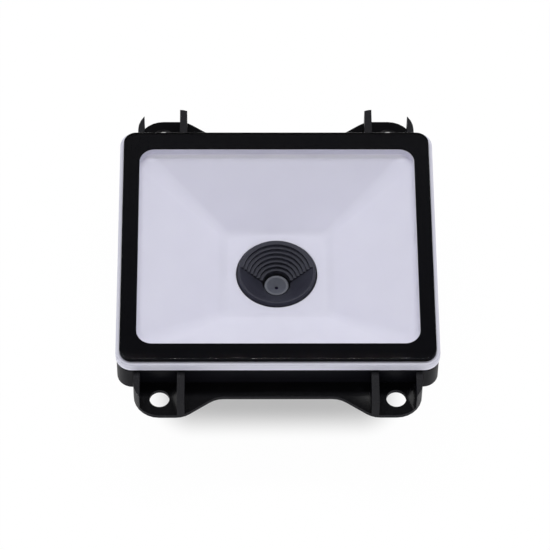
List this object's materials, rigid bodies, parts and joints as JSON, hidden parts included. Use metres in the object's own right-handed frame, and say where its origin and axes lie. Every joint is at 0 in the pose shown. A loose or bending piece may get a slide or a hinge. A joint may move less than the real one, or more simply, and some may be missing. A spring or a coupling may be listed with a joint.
{
  "type": "fixed barcode reader",
  "caption": "Square fixed barcode reader with a glass window over a white light well, a stepped black lens hood, a white light ring and a black flange with ribbed screw ears.",
  "frame": {"origin": "centre of the bounding box at the level of the rear cover's flat back", "axes": "+Z out of the window, X along the window's width, Y along its length with the data socket at +Y"},
  "size_m": [0.078, 0.0886, 0.0332],
  "materials": {
    "clear_glass": "polished clear glass",
    "border_black": "black printed border, satin",
    "ring_white": "translucent white, moulded",
    "diffuser_white": "milky white, moulded matt",
    "housing_black": "black moulded plastic, fine grain",
    "hood_black": "black moulded plastic, satin",
    "barrel_grey": "dark anodised",
    "lens_glass": "coated lens glass",
    "circuit_board": "green solder mask",
    "chip_black": "moulded package",
    "led_lens": "yellow phosphor under clear resin",
    "ribbon_amber": "polyimide film",
    "socket_steel": "nickel plated",
    "seal_rubber": "black silicone",
    "screw_steel": "black zinc"
  },
  "bodies": {
    "root": {"window_glass": "clear_glass", "window_tape": "border_black", "light_ring": "ring_white", "diffuser": "diffuser_white", "lens_hood": "hood_black", "lens_barrel": "barrel_grey", "lens": "lens_glass", "lens_holder": "housing_black", "image_sensor": "chip_black", "ring_led_board": "circuit_board", "well_led_board": "circuit_board", "main_board": "circuit_board", "decoder_chip": "chip_black", "memory_chip": "chip_black", "buzzer": "housing_black", "ribbon_cable": "ribbon_amber", "socket_shell": "socket_steel", "socket_insert": "chip_black", "front_housing": "housing_black", "rear_cover": "housing_black", "rear_seal": "seal_rubber", "ring_led_1": "led_lens", "ring_led_2": "led_lens", "ring_led_3": "led_lens", "ring_led_4": "led_lens", "ring_led_5": "led_lens", "ring_led_6": "led_lens", "ring_led_7": "led_lens", "ring_led_8": "led_lens", "well_led_1": "led_lens", "well_led_2": "led_lens", "well_led_3": "led_lens", "well_led_4": "led_lens", "well_led_5": "led_lens", "well_led_6": "led_lens", "well_led_7": "led_lens", "well_led_8": "led_lens", "cover_screw_1": "screw_steel", "cover_screw_2": "screw_steel", "cover_screw_3": "screw_steel", "cover_screw_4": "screw_steel", "board_screw_1": "screw_steel", "board_screw_2": "screw_steel", "board_screw_3": "screw_steel", "board_screw_4": "screw_steel", "chassis_screw_1": "screw_steel", "chassis_screw_2": "screw_steel"}
  },
  "joints": []
}
